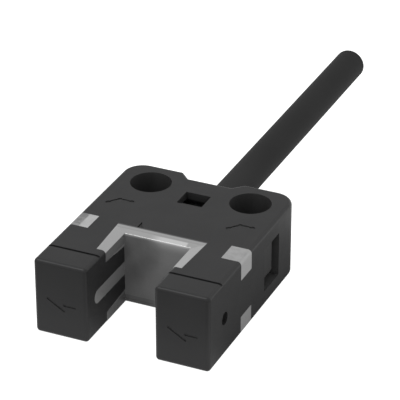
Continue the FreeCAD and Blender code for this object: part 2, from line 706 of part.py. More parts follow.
def make_diode(name, sign):
    """A side-looking package with a domed lens towards the slot."""

    def across(expression):
        return expression if sign > 0 else minus(expression)

    body = new_body(name)
    package = sketch_on(body, f"{name}_package", "XY_Plane", BOARD_TOP)
    rectangle(package, (across(DIODE_INNER), f"{OPTICAL_Y} - dims.diode_width / 2"),
              (across(DIODE_OUTER), f"{OPTICAL_Y} + dims.diode_width / 2"))
    grow(body, "Pad", package, f"2 * ({AXIS} - ({BOARD_TOP}))")
    lens = sketch_on(body, f"{name}_lens", "YZ_Plane", across(DIODE_INNER))
    circle(lens, (OPTICAL_Y, AXIS), "dims.lens_diameter / 2")
    grow(body, "Pad", lens, "dims.lens_reach - dims.fit_gap", sign > 0)
    holder_inner = size("slot_width") / 2 + size("rim_width_front") + size("fit_gap")
    face = sign * (holder_inner + size("holder_wall") + size("fit_gap"))
    rounded(body, f"{name}_dome", "dims.lens_round", lambda low, high: near(low[0], face) and near(
        high[0], face))
    return body


def make_holder(name, sign):
    """A black hood over one diode, with a slit towards the slot and a peg in the housing's side."""

    def across(expression):
        return expression if sign > 0 else minus(expression)

    body = new_body(name)
    inner = f"{RIM_FRONT_SIDE} + dims.fit_gap"
    outer = f"{CAVITY_SIDE} - dims.fit_gap"
    half_length = "dims.diode_width / 2 + dims.fit_gap"
    hood = sketch_on(body, f"{name}_hood", "XY_Plane", BOARD_TOP)
    rectangle(hood, (across(inner), f"{OPTICAL_Y} - {half_length} - dims.holder_wall"),
              (across(outer), f"{OPTICAL_Y} + {half_length} + dims.holder_wall"))
    grow(body, "Pad", hood, f"{HOLDER_TOP} - ({BOARD_TOP})")
    peg = sketch_on(body, f"{name}_peg", "YZ_Plane", across(outer))
    circle(peg, (f"{FRONT} + dims.peg_from_front", AXIS), "dims.peg_diameter / 2 - dims.fit_gap / 2")
    grow(body, "Pad", peg, "dims.side_wall + dims.seat_ledge + dims.fit_gap - dims.peg_recess", sign < 0)
    room = sketch_on(body, f"{name}_room", "XY_Plane", BOARD_TOP)
    rectangle(room, (across(f"{inner} + dims.holder_wall"), f"{OPTICAL_Y} - ({half_length})"),
              (across(f"{outer} - dims.holder_wall"), f"{OPTICAL_Y} + {half_length}"))
    grow(body, "Pocket", room, f"{HOLDER_TOP} - ({BOARD_TOP}) - dims.holder_wall", True)
    slit = sketch_on(body, f"{name}_slit", "YZ_Plane", across(inner))
    rectangle(slit, (f"{OPTICAL_Y} - dims.slit_width / 2", f"{AXIS} - dims.slit_height / 2"),
              (f"{OPTICAL_Y} + dims.slit_width / 2", f"{AXIS} + dims.slit_height / 2"))
    grow(body, "Pocket", slit, "dims.holder_wall", sign > 0)
    return body


# Electronic parts on the board

# Legs along each long side of a package
CHIP_LEGS = 4
REGULATOR_LEGS = 3
TRANSISTOR_LEGS = 2


def block(name, centre, lengths):
    """A box given by expressions: the middle of its underside, and its three lengths."""
    box = doc.addObject("Part::Box", name)
    for side, expression in zip(("Length", "Width", "Height"), lengths):
        box.setExpression(side, expression)
    box.setExpression("Placement.Base.x", f"{centre[0]} - ({lengths[0]}) / 2")
    box.setExpression("Placement.Base.y", f"{centre[1]} - ({lengths[1]}) / 2")
    box.setExpression("Placement.Base.z", centre[2])
    return box


def fused(name, pieces):
    union = doc.addObject("Part::MultiFuse", name)
    union.Shapes = pieces
    union.Label = name
    return union


def group(name, pieces):
    compound = doc.addObject("Part::Compound", name)
    compound.Links = pieces
    compound.Label = name
    return compound


def chip(name, centre, lengths, legs):
    """A moulded package with a row of flat legs along each long side."""
    pieces = [block(f"{name}_package", (centre[0], centre[1], BOARD_TOP), lengths)]
    for number in range(legs):
        along = f"{centre[0]} + ({lengths[0]}) * {(number + 0.5) / legs - 0.5}"
        pieces.append(block(f"{name}_leg_{number}", (along, centre[1], BOARD_TOP),
                            ("dims.leg_width", f"{lengths[1]} + 2 * dims.leg_reach", "dims.leg_width / 2")))
    return fused(name, pieces)


def make_electronics():
    small = ("dims.small_chip_length", "dims.small_chip_width", "dims.small_chip_height")
    transistor = ("dims.transistor_length", "dims.transistor_width", "dims.small_chip_height")
    passive = ("dims.passive_length", "dims.passive_width", "dims.passive_height")
    led = ("dims.led_width", "dims.led_length", "dims.led_height")
    row_front = f"{RIM_BACK} + dims.chip_clearance"
    small_row = f"{row_front} + dims.leg_reach + dims.small_chip_width / 2"
    right, left = "dims.small_chip_spacing / 2", "-dims.small_chip_spacing / 2"
    arm_x = f"{RIM_BACK_SIDE} + dims.chip_clearance + dims.transistor_length / 2"
    arm_y = f"{HOLDER_REAR} + dims.carrier_inset + dims.leg_reach + dims.transistor_width / 2"
    led_x = f"{GUIDE_INNER} - dims.led_width"
    led_y = f"{GUIDE_FRONT} + dims.guide_length / 2"
    beside = "(dims.passive_length + dims.fit_gap) / 2"
    inner_x, outer_x = f"{right} - {beside}", f"{right} + {beside}"
    first_row = f"{small_row} + dims.small_chip_width / 2 + dims.leg_reach + dims.passive_width"
    second_row = f"{first_row} + dims.passive_width + dims.fit_gap"

    def passives(name, places):
        blocks = [block(f"{name}_{i}", (*place, BOARD_TOP), passive) for i, place in enumerate(places)]
        return group(name, blocks)

    def transistor_at(name, x):
        return chip(name, (x, arm_y), transistor, TRANSISTOR_LEGS)

    return [
        chip("control_chip", (MIDDLE, f"{row_front} + dims.leg_reach + dims.chip_width / 2"),
             ("dims.chip_length", "dims.chip_width", "dims.chip_height"), CHIP_LEGS),
        chip("voltage_regulator", (left, small_row), small, REGULATOR_LEGS),
        chip("protection_diode", (right, small_row), small, 1),
        group("output_transistors", [transistor_at("first_transistor", minus(arm_x)),
                                     transistor_at("second_transistor", arm_x)]),
        passives("capacitors", [(outer_x, first_row), (minus(outer_x), first_row)]),
        passives("resistors", [(x, y) for x in (inner_x, minus(inner_x)) for y in (first_row, second_row)]),
        block("right_indicator_led", (led_x, led_y, BOARD_TOP), led),
        block("left_indicator_led", (minus(led_x), led_y, BOARD_TOP), led),
    ]


# Cable, clamp, wires and solder

CABLE_INNER_END = f"{RECESS_FLOOR} - dims.cable_inside"
# A wire's bends against its own radius
BEND_TO_RADIUS = 1.2


def make_cable():
    cable = doc.addObject("Part::Cylinder", "cable")
    cable.Label = "cable"
    cable.setExpression("Radius", "dims.cable_diameter / 2")
    cable.setExpression("Height", "dims.cable_inside + dims.cable_run")
    cable.setExpression("Placement.Base.y", CABLE_INNER_END)
    cable.setExpression("Placement.Base.z", AXIS)
    cable.Placement.Rotation = FreeCAD.Rotation(FreeCAD.Vector(0, 0, 1), FreeCAD.Vector(0, 1, 0))
    return cable


def make_cable_clamp():
    body = new_body("cable_clamp")
    side = f"{CHANNEL_SIDE} - dims.fit_gap"
    clamp_front = f"{CHANNEL_REAR} - dims.clamp_length"
    ceiling = f"{TOP} - dims.top_wall - dims.fit_gap"
    saddle = sketch_on(body, "clamp_block", "XY_Plane", "dims.cover_thickness")
    rectangle(saddle, (minus(side), clamp_front), (side, CHANNEL_REAR))
    grow(body, "Pad", saddle, f"{ceiling} - dims.cover_thickness")
    bore = sketch_on(body, "clamp_bore", "XZ_Plane", minus(CHANNEL_REAR))
    circle(bore, (MIDDLE, AXIS), "dims.cable_diameter / 2")
    grow(body, "Pocket", bore, "dims.clamp_length", True)
    nose_side = "dims.top_window_width / 2 - dims.fit_gap"
    nose_front = f"{TOP_WINDOW_FRONT} + dims.fit_gap"
    arm_top = f"{ceiling} - dims.clamp_arm_drop"
    arm = sketch_on(body, "clamp_arm", "XY_Plane", f"{arm_top} - dims.clamp_arm_thickness")
    rectangle(arm, (minus(nose_side), nose_front), (nose_side, clamp_front))
    grow(body, "Pad", arm, "dims.clamp_arm_thickness")
    nose = sketch_on(body, "clamp_nose", "XY_Plane", arm_top)
    rectangle(nose, (minus(nose_side), nose_front), (nose_side, f"{nose_front} + dims.clamp_nose_length"))
    grow(body, "Pad", nose, f"{TOP} - dims.clamp_nose_sink - ({arm_top})")
    return body


def rounded_path(points, radius):
    """Straight runs through points, joined by tangent arcs."""
    edges, start = [], points[0]
    for before, corner, after in zip(points, points[1:], points[2:]):
        inward, outward = (before - corner).normalize(), (after - corner).normalize()
        half_angle = inward.getAngle(outward) / 2
        reach = radius / math.tan(half_angle)
        middle = (inward + outward).normalize() * (radius / math.sin(half_angle) - radius)
        first, last = corner + inward * reach, corner + outward * reach
        edges += [Part.LineSegment(start, first).toShape(), Part.Arc(first, corner + middle, last).toShape()]
        start = last
    edges.append(Part.LineSegment(start, points[-1]).toShape())
    return Part.Wire(edges)


def make_wire(name, column, level):
    """One wire from the cable's inner end down to its pad. column counts pads, level is +1 or -1."""
    radius = size("wire_diameter") / 2
    side = math.copysign(size("wire_pitch") / 2, column)
    board_top = size("cover_thickness") + size("carrier_thickness") + size("board_thickness")
    height = size("body_height") / 2 + level * size("wire_pitch") / 2
    start_y = size("body_depth") / 2 - size("recess_depth") - size("cable_inside")
    end_y = size("body_depth") / 2 - size("pad_from_rear") + size("solder_radius")
    run = (start_y - end_y) / 4
    pad_x = column * size("pad_pitch")
    points = [
        FreeCAD.Vector(side, start_y, height),
        FreeCAD.Vector(side, start_y - run, height),
        FreeCAD.Vector(pad_x, end_y + run, board_top + radius),
        FreeCAD.Vector(pad_x, end_y, board_top + radius),
    ]
    path = rounded_path(points, radius * BEND_TO_RADIUS)
    section = Part.Wire(Part.makeCircle(radius, points[0], FreeCAD.Vector(0, 1, 0)))
    wire = doc.addObject("Part::Feature", name)
    wire.Shape = path.makePipeShell([section], True, True)
    wire.Label = name
    return wire


def make_solder_joints(columns):
    """Half domes of solder on the pads."""
    joints = []
    for number, column in enumerate(columns):
        dome = doc.addObject("Part::Sphere", f"solder_{number}")
        dome.Angle1 = 0
        dome.setExpression("Radius", "dims.solder_radius")
        dome.setExpression("Placement.Base.x", f"{column} * dims.pad_pitch")
        dome.setExpression("Placement.Base.y", PAD_Y)
        dome.setExpression("Placement.Base.z", BOARD_TOP)
        joints.append(dome)
    return group("solder_joints", joints)


# Each wire's pad, counted in pad pitches from the middle, and the level it leaves the cable at
WIRES = {
    "brown_wire": (-1.5, 1),
    "blue_wire": (-0.5, -1),
    "black_wire": (0.5, -1),
    "white_wire": (1.5, 1),
}

pieces = [
    make_housing(),
    make_base_cover(),
    make_fork_lining(),
    make_light_guide("right_light_guide", 1),
    make_light_guide("left_light_guide", -1),
    make_inner_carrier(),
    make_circuit_board(),
    make_diode("emitter_diode", -1),
    make_diode("receiver_diode", 1),
    make_holder("emitter_holder", -1),
    make_holder("receiver_holder", 1),
    *make_electronics(),
    make_cable(),
    make_cable_clamp(),
    *[make_wire(name, column, level) for name, (column, level) in WIRES.items()],
    make_solder_joints([column for column, level in WIRES.values()]),
]
doc.recompute()

for item in doc.Objects:
    if "Invalid" in item.State or "Error" in item.State:
        raise RuntimeError(f"{item.Name} failed: {item.State}")
for piece in pieces:
    if piece.Shape.isNull() or not piece.Shape.isValid():
        raise RuntimeError(f"{piece.Label} has no valid shape")

os.makedirs("parts", exist_ok=True)
for piece in pieces:
    piece.Shape.exportStep(f"parts/{piece.Label}.step")
    box = piece.Shape.BoundBox
    print(f"{piece.Label:22s} {len(piece.Shape.Solids)} solids, {piece.Shape.Volume:8.3f} mm3, "
          f"x {box.XMin:.2f} {box.XMax:.2f} y {box.YMin:.2f} {box.YMax:.2f} z {box.ZMin:.2f} {box.ZMax:.2f}")
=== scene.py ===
import math

import bpy
from mathutils import Matrix, Vector


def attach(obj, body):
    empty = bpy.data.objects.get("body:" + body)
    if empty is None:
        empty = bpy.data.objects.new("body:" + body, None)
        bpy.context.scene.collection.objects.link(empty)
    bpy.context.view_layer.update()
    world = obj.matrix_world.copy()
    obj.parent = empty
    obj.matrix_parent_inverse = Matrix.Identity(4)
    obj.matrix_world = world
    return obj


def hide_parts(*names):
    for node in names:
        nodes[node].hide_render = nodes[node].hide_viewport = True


# Fork sensor: the moulded black housing with its shallow marks, the smoke-grey lining and light windows,
# and the cut cable with its four cores.
# Lengths are given in millimetres and turned into metres by MM.

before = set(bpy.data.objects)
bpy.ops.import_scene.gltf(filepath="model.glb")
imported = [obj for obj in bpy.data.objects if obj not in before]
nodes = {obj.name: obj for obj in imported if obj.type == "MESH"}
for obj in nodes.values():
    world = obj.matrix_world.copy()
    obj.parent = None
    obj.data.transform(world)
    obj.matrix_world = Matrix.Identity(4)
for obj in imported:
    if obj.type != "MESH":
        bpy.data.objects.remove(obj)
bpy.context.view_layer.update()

MM = 0.001
BODY_DEPTH, BODY_HEIGHT = 16.45, 6.1
FRONT_FACE, TOP_FACE, AXIS_HEIGHT = -BODY_DEPTH / 2, BODY_HEIGHT, BODY_HEIGHT / 2
SLOT_SIDE, SLOT_BACK, RIM_BACK = 2.65, -2.055, -1.055
HOLE_X, HOLE_Y, HOLE_RADIUS = 4.1, 5.625, 1.6
CABLE_RADIUS, CABLE_EXIT, CABLE_TIP = 1.3, 7.425, 37.525


def millimetres(*place):
    return Vector(place) * MM


# Camera

CAMERA_PLACE, CAMERA_LENS = (60.717, -129.781, 86.981), 202.317
CAMERA_BACK, CAMERA_RIGHT = (0.35876, -0.79972, 0.4814), (0.9124, 0.40931, 0)

camera_data = bpy.data.cameras.new("camera")
camera_data.lens = CAMERA_LENS
camera_data.sensor_width = 36
camera_data.clip_start = 0.01
camera_data.clip_end = 10
camera = bpy.data.objects.new("camera", camera_data)
bpy.context.scene.collection.objects.link(camera)
camera_back = Vector(CAMERA_BACK).normalized()
camera_right = Vector(CAMERA_RIGHT).normalized()
camera_up = camera_back.cross(camera_right)
camera_turn = Matrix((camera_right, camera_up, camera_back)).transposed().to_4x4()
camera.matrix_world = Matrix.Translation(millimetres(*CAMERA_PLACE)) @ camera_turn
bpy.context.scene.camera = camera


# Materials

MM_PER_METRE = 1 / MM
FIRST_COLOUR, SECOND_COLOUR, MIXED_COLOUR = 6, 7, 2
SPECKLE_SIZE = 0.12


def new_finish(name):
    material = bpy.data.materials.new(name)
    material.use_nodes = True
    tree = material.node_tree
    return material, tree, tree.nodes["Principled BSDF"]


def add_node(tree, kind, **settings):
    """A new node. Each setting goes to its input of that name, or else to its property."""
    node = tree.nodes.new(kind)
    for name, value in settings.items():
        if name in node.inputs:
            node.inputs[name].default_value = value
        else:
            setattr(node, name, value)
    return node


def noise(tree, place, size_mm, detail=3.0):
    """Noise with patches about size_mm across."""
    node = add_node(tree, "ShaderNodeTexNoise", Scale=MM_PER_METRE / size_mm, Detail=detail)
    tree.links.new(place, node.inputs["Vector"])
    return node.outputs["Fac"]


def between(tree, value, low, high, to_low=0.0, to_high=1.0, smooth=True):
    """value from low..high mapped to to_low..to_high."""
    node = add_node(tree, "ShaderNodeMapRange", interpolation_type="SMOOTHSTEP" if smooth else "LINEAR")
    for socket, number in zip(("From Min", "From Max", "To Min", "To Max"), (low, high, to_low, to_high)):
        node.inputs[socket].default_value = number
    tree.links.new(value, node.inputs["Value"])
    return node.outputs["Result"]


def below(tree, value, full, gone):
    """1 up to full, falling to 0 at gone."""
    return between(tree, value, full, gone, 1.0, 0.0)


def mixed(tree, factor, first, second):
    """Two colours, or sockets with colours, mixed by a factor."""
    node = add_node(tree, "ShaderNodeMix", data_type="RGBA")
    for number, value in ((FIRST_COLOUR, first), (SECOND_COLOUR, second)):
        if isinstance(value, tuple):
            node.inputs[number].default_value = (*value, 1)
        else:
            tree.links.new(value, node.inputs[number])
    tree.links.new(factor, node.inputs["Factor"])
    return node.outputs[MIXED_COLOUR]


def combined(tree, operation, first, second=0.0):
    """A sum, product or other operation on one or two numbers, or sockets with numbers."""
    node = add_node(tree, "ShaderNodeMath", operation=operation)
    for socket, value in zip(node.inputs, (first, second)):
        if isinstance(value, (int, float)):
            socket.default_value = value
        else:
            tree.links.new(value, socket)
    return node.outputs[0]


def bumped(tree, shader, height, strength, depth_mm):
    node = add_node(tree, "ShaderNodeBump", Strength=strength, Distance=depth_mm * MM)
    tree.links.new(height, node.inputs["Height"])
    tree.links.new(node.outputs["Normal"], shader.inputs["Normal"])


def coordinates(tree, place):
    """X, Y and Z of a place, in millimetres."""
    scaled = add_node(tree, "ShaderNodeVectorMath", operation="SCALE")
    scaled.inputs["Scale"].default_value = MM_PER_METRE
    tree.links.new(place, scaled.inputs[0])
    split = add_node(tree, "ShaderNodeSeparateXYZ")
    tree.links.new(scaled.outputs[0], split.inputs[0])
    return split.outputs["X"], split.outputs["Y"], split.outputs["Z"]


def all_of(tree, *masks):
    """The masks multiplied, so 1 only where each of them is 1."""
    whole = masks[0]
    for mask in masks[1:]:
        whole = combined(tree, "MULTIPLY", whole, mask)
    return whole


def within(tree, value, low, high, edge=0.03):
    """1 where the value lies between low and high, falling to 0 over the edge."""
    return all_of(tree, between(tree, value, low - edge / 2, low + edge / 2),
                  below(tree, value, high - edge / 2, high + edge / 2))


def painted(tree, shader, mask, colour):
    """The colour, or a socket with one, laid over the base colour where the mask is 1."""
    underneath = shader.inputs["Base Color"].links[0].from_socket
    tree.links.new(mixed(tree, mask, underneath, colour), shader.inputs["Base Color"])


def grey(level, tint=1.0):
    return (level, level, level * tint)


def grained(name, dark, light, roughness, grain_mm, grain_strength=0.3, patch_mm=2.5, specular=0.5):
    """A moulded or coated surface: two near colours in soft patches, fine grain, and uneven roughness."""
    patch_share, grain_depth_mm, unevenness = 0.7, 0.01, 0.05
    colour_range, roughness_range = (0.35, 0.65), (0.3, 0.7)
    material, tree, shader = new_finish(name)
    place = add_node(tree, "ShaderNodeTexCoord").outputs["Object"]
    grain = noise(tree, place, grain_mm, detail=2.0)
    patches = combined(tree, "MULTIPLY", noise(tree, place, patch_mm), patch_share)
    tone = combined(tree, "ADD", patches, combined(tree, "MULTIPLY", grain, 1 - patch_share))
    colour = mixed(tree, between(tree, tone, *colour_range), dark, light)
    uneven = between(tree, tone, *roughness_range, roughness - unevenness, roughness + unevenness)
    tree.links.new(colour, shader.inputs["Base Color"])
    tree.links.new(uneven, shader.inputs["Roughness"])
    shader.inputs["Specular IOR Level"].default_value = specular
    bumped(tree, shader, grain, grain_strength, grain_depth_mm)
    return material, tree, shader, place


def plain_finish(*settings, **more):
    """A grained finish with nothing painted over it."""
    return grained(*settings, **more)[0]


def wire_finish(name, dark, light):
    return plain_finish(name, dark, light, roughness=0.4, grain_mm=0.1, grain_strength=0.15, patch_mm=0.6)


def rubbed_edges(tree, shader, roughness):
    """The roundings are smoother than the flat faces, as handling and the mould's own edges leave them."""
    rounding, flat_face = 0.93, 0.99
    split = add_node(tree, "ShaderNodeSeparateXYZ")
    tree.links.new(add_node(tree, "ShaderNodeNewGeometry").outputs["Normal"], split.inputs[0])
    steepest = 0.0
    for axis in "XYZ":
        steepest = combined(tree, "MAXIMUM", combined(tree, "ABSOLUTE", split.outputs[axis]), steepest)
    uneven = shader.inputs["Roughness"].links[0].from_socket
    drop = all_of(tree, below(tree, steepest, rounding, flat_face),
                  combined(tree, "SUBTRACT", uneven, roughness))
    tree.links.new(combined(tree, "SUBTRACT", uneven, drop), shader.inputs["Roughness"])


# Where the housing's marks and openings begin and end, or fade. ASIDE is x without its sign

MARK_DEPTH = 0.08
ARC_MARKS_ASIDE, ARC_MARKS_Y = (3.6, 6.2), (0.8, 3.2)
TICK_X, TICK_Y = (-2.15, -1.55), (RIM_BACK - 0.1, RIM_BACK + 0.95)
STROKES_ASIDE, STROKES_Z = (3.3, 6.3), (1.9, 3.5)
TOP_MARKS_Z = (TOP_FACE - 0.2, TOP_FACE - MARK_DEPTH / 2)
FRONT_MARKS_Y = (FRONT_FACE + MARK_DEPTH / 2, FRONT_FACE + 0.2)
BORE_RADIUS = (HOLE_RADIUS + 0.01, HOLE_RADIUS + 0.03)
TOP_OPENING_ASIDE, TOP_OPENING_Y = (1.01, 1.03), (3.52, 5.37)
TOP_OPENING_Z = (TOP_FACE - 0.7, TOP_FACE - 0.03)
SIDE_OPENING_ASIDE, SIDE_OPENING_Y, SIDE_OPENING_Z = (6.85, 6.89), (1.7, 4.5), (1.25, 4.85)
NARROW_EDGE = 0.02


def from_hole(tree, aside, y):
    """The distance from the axis of the mounting hole on this side."""
    off_x = combined(tree, "SUBTRACT", aside, HOLE_X)
    off_y = combined(tree, "SUBTRACT", y, HOLE_Y)
    squares = [combined(tree, "MULTIPLY", off, off) for off in (off_x, off_y)]
    return combined(tree, "SQRT", combined(tree, "ADD", *squares))


def housing_finish():
    """Fine spark-eroded black. The walls of holes and openings and most marks are painted a paler black,
    painted light that lifts the shade they lie in. The tick mark is painted darker, as painted shade, and the
    roundings are smoother."""
    material, tree, shader, place = grained(
        "housing_black", grey(0.0165, 1.02), grey(0.0195, 1.02), 0.55, 0.07, 0.35, specular=0.2)
    x, y, z = coordinates(tree, place)
    aside = combined(tree, "ABSOLUTE", x)
    in_top = within(tree, z, *TOP_MARKS_Z, NARROW_EDGE)
    arc_marks = all_of(tree, in_top, within(tree, aside, *ARC_MARKS_ASIDE), within(tree, y, *ARC_MARKS_Y))
    tick = all_of(tree, in_top, within(tree, x, *TICK_X), within(tree, y, *TICK_Y))
    strokes = all_of(tree, within(tree, y, *FRONT_MARKS_Y, NARROW_EDGE),
                     within(tree, aside, *STROKES_ASIDE), within(tree, z, *STROKES_Z))
    bore = below(tree, from_hole(tree, aside, y), *BORE_RADIUS)
    top_opening = all_of(tree, below(tree, aside, *TOP_OPENING_ASIDE),
                         within(tree, y, *TOP_OPENING_Y, NARROW_EDGE),
                         within(tree, z, *TOP_OPENING_Z, NARROW_EDGE))
    side_opening = all_of(tree, below(tree, aside, *SIDE_OPENING_ASIDE),
                          within(tree, y, *SIDE_OPENING_Y, NARROW_EDGE),
                          within(tree, z, *SIDE_OPENING_Z, NARROW_EDGE))
    # Painted light lifts the shade in the bores, openings, arcs and strokes by painting them paler; the tick
    # gets painted shade, darker than the black round it
    for mask, level in ((tick, 0.0145), (combined(tree, "MAXIMUM", arc_marks, strokes), 0.031),
                        (bore, 0.032), (top_opening, 0.0225), (side_opening, 0.04)):
        painted(tree, shader, mask, grey(level))
    rubbed_edges(tree, shader, 0.36)
    return material


# Where the lining's tones begin and end, or fade. FROM_AXIS is the height above or below the axis

LOWER_WALL_Z = (1.0, 3.2)
LOW_BAND_Z, LIGHT_LINE_Z, DARK_LINE_Z = (0.79, 0.84), (0.83, 0.9), (0.45, 0.52)
ARMS_ASIDE, ARMS_Y = (SLOT_SIDE - 0.03, SLOT_SIDE), (SLOT_BACK - 0.03, SLOT_BACK)
UPPER_ARMS_FROM_AXIS = (2.0, 2.1)
GLOW_X, GLOW_FROM_AXIS, GLOW_Y = (-1.0, 0.6), (1.9, 2.95), (SLOT_BACK - 0.05, SLOT_BACK - 0.01)
RIM_FROM_AXIS = (2.81, 2.87)
BACK_BAND_Y = (SLOT_BACK + 0.48, SLOT_BACK + 0.56)
LIT_EDGE_Y, LIT_EDGE_END_X = (SLOT_BACK + 0.04, SLOT_BACK + 0.46), (SLOT_SIDE - 0.45, SLOT_SIDE - 0.3)
LIT_EDGE_BRIGHTENS_X, SOFT_EDGE = (-0.8, 0.4), 0.1
JOINT_Y = (RIM_BACK - 0.15, RIM_BACK - 0.09)


def lining_finish():
    """Smoke-grey clear plastic. Its rim is painted paler as the light it carries, most of it as a painted
    highlight at the slot's back edge, with a painted glow on the wall beside it. The wall is paler low down,
    with a dark band at its foot, and the arms' faces are painted paler, as lit, up to near the rim."""
    material, tree, shader, place = grained("smoked_lining", grey(0.108), grey(0.12), 0.2, 0.4, 0.04, 1.5)
    x, y, z = coordinates(tree, place)
    aside = combined(tree, "ABSOLUTE", x)
    from_axis = combined(tree, "ABSOLUTE", combined(tree, "SUBTRACT", z, AXIS_HEIGHT))
    speckle = noise(tree, place, SPECKLE_SIZE)

    painted(tree, shader, below(tree, z, *LOWER_WALL_Z), mixed(tree, speckle, grey(0.15), grey(0.168)))
    painted(tree, shader, below(tree, z, *LOW_BAND_Z), grey(0.125))
    painted(tree, shader, within(tree, z, *LIGHT_LINE_Z), grey(0.165))
    painted(tree, shader, within(tree, z, *DARK_LINE_Z), grey(0.095))

    # Painted light: the arms' faces are painted paler, as lit, except a strip near the rim that keeps a
    # darker tone
    lit_arms = all_of(tree, between(tree, aside, *ARMS_ASIDE), below(tree, y, *ARMS_Y))
    upper_arms = all_of(tree, lit_arms, between(tree, from_axis, *UPPER_ARMS_FROM_AXIS))
    painted(tree, shader, lit_arms, mixed(tree, speckle, grey(0.175), grey(0.195)))
    painted(tree, shader, upper_arms, mixed(tree, speckle, grey(0.115), grey(0.13)))

    # Painted light: a glow on the back wall beneath the lit edge of the rim
    glow = all_of(tree, between(tree, x, *GLOW_X), between(tree, from_axis, *GLOW_FROM_AXIS),
                  between(tree, from_axis, *GLOW_FROM_AXIS, smooth=False), between(tree, y, *GLOW_Y))
    painted(tree, shader, glow, grey(0.3))

    # Painted light: the rim is painted paler as the light it carries, and its edge at the slot's back is a
    # painted highlight, brighter towards the right. The joint is a dark line of its own
    rim = between(tree, from_axis, *RIM_FROM_AXIS)
    lit_side_band = mixed(tree, speckle, grey(0.25), grey(0.28))
    lit_back_band = mixed(tree, speckle, grey(0.215), grey(0.24))
    lit_tone = mixed(tree, between(tree, x, *LIT_EDGE_BRIGHTENS_X), grey(0.27), grey(0.43))
    lit_edge = all_of(tree, rim, within(tree, y, *LIT_EDGE_Y, SOFT_EDGE), below(tree, x, *LIT_EDGE_END_X))
    joint = all_of(tree, rim, between(tree, y, *JOINT_Y))
    painted(tree, shader, rim, mixed(tree, between(tree, y, *BACK_BAND_Y), lit_side_band, lit_back_band))
    painted(tree, shader, lit_edge, lit_tone)
    painted(tree, shader, joint, grey(0.035))
    return material


GUIDE_SIDE_ASIDE, GUIDE_LOW_Z = (6.7, 6.85), (1.5, 1.7)
ROOT_X, ROOT_Z = (-6.15, -6.0), (5.5, 5.8)
MOTTLE_SIZE, MOTTLE_RANGE = 0.35, (0.4, 0.6)


def guide_finish(name, rooted):
    """Frosted clear plastic, with painted shade that makes it darker low down. A rooted one is a paler, lit
    copy of the same plastic, and shows a dark, mottled root on the outer part of its top."""
    # Painted light: the rooted guide is a paler, lit copy of the same plastic
    light = 0.37 if rooted else 0.28
    material, tree, shader, place = grained(
        name, grey(0.85 * light), grey(light), 0.45, 0.12, 0.1, 0.6, specular=0.25)
    x, _, z = coordinates(tree, place)
    speckle = noise(tree, place, SPECKLE_SIZE)
    side_face = between(tree, combined(tree, "ABSOLUTE", x), *GUIDE_SIDE_ASIDE)
    painted(tree, shader, side_face, mixed(tree, speckle, grey(0.31), grey(0.35)))
    # Painted shade: the guide is darker low down
    painted(tree, shader, below(tree, z, *GUIDE_LOW_Z), mixed(tree, speckle, grey(0.23), grey(0.27)))
    if rooted:
        root = all_of(tree, below(tree, x, *ROOT_X), between(tree, z, *ROOT_Z))
        mottle = between(tree, noise(tree, place, MOTTLE_SIZE), *MOTTLE_RANGE)
        painted(tree, shader, root, mixed(tree, mottle, grey(0.14), grey(0.21)))
    return material


LIT_JACKET_Y = (CABLE_EXIT, CABLE_EXIT + 11)


def jacket_finish():
    """Matt black jacket, with painted light making it a little paler where it leaves the housing."""
    material, tree, shader, place = grained(
        "cable_jacket", grey(0.022), grey(0.025), 0.75, 0.12, 0.15, 3.0, specular=0.05)
    _, y, _ = coordinates(tree, place)
    # Painted light: the jacket is paler near the housing
    painted(tree, shader, below(tree, y, *LIT_JACKET_Y), grey(0.033))
    return material


def solder_finish():
    material, _, shader, _ = grained("solder", grey(0.5), grey(0.66), 0.3, 0.08, 0.2, 0.3)
    shader.inputs["Metallic"].default_value = 1
    return material


housing_black = housing_finish()
smoked_lining = lining_finish()
cable_jacket = jacket_finish()
solder = solder_finish()

# After the two colours come roughness, grain size, grain strength and patch size
carrier_black = plain_finish("carrier_black", grey(0.016), grey(0.019), 0.55, 0.08, 0.35, specular=0.2)
chip_black = plain_finish("chip_epoxy", grey(0.018), grey(0.03), 0.6, 0.05)
board_green = plain_finish("board_green", (0.012, 0.09, 0.035), (0.02, 0.13, 0.05), 0.35, 0.25, 0.15, 0.5)
clear_resin = plain_finish("clear_resin", (0.42, 0.47, 0.55), (0.5, 0.55, 0.62), 0.12, 0.3, 0.05)
dark_resin = plain_finish("dark_resin", (0.012, 0.01, 0.016), (0.018, 0.014, 0.022), 0.12, 0.3, 0.05)
ceramic_tan = plain_finish("ceramic_tan", (0.34, 0.24, 0.14), (0.42, 0.31, 0.2), 0.6, 0.04, 0.3, 0.3)
led_resin = plain_finish("led_resin", (0.62, 0.5, 0.18), (0.75, 0.62, 0.25), 0.2, 0.2, 0.05)
wire_brown = wire_finish("wire_brown", (0.12, 0.045, 0.018), (0.17, 0.07, 0.03))
wire_blue = wire_finish("wire_blue", (0.02, 0.07, 0.33), (0.03, 0.1, 0.42))
wire_black = wire_finish("wire_black", grey(0.014), grey(0.02))
wire_white = wire_finish("wire_white", grey(0.62, 0.97), grey(0.7, 0.97))

FINISHES = {
    "housing": housing_black,
    "base_cover": housing_black,
    "fork_lining": smoked_lining,
    "right_light_guide": guide_finish("light_guide", rooted=False),
    "left_light_guide": guide_finish("light_guide_rooted", rooted=True),
    "inner_carrier": carrier_black,
    "circuit_board": board_green,
    "emitter_diode": clear_resin,
    "receiver_diode": dark_resin,
    "emitter_holder": carrier_black,
    "receiver_holder": carrier_black,
    "control_chip": chip_black,
    "voltage_regulator": chip_black,
    "protection_diode": chip_black,
    "output_transistors": chip_black,
    "capacitors": ceramic_tan,
    "resistors": chip_black,
    "right_indicator_led": led_resin,
    "left_indicator_led": led_resin,
    "cable_clamp": carrier_black,
    "brown_wire": wire_brown,
    "blue_wire": wire_blue,
    "black_wire": wire_black,
    "white_wire": wire_white,
    "solder_joints": solder,
}
for name, material in FINISHES.items():
    for slot in nodes[name].material_slots:
        slot.material = material


# Modelling helpers

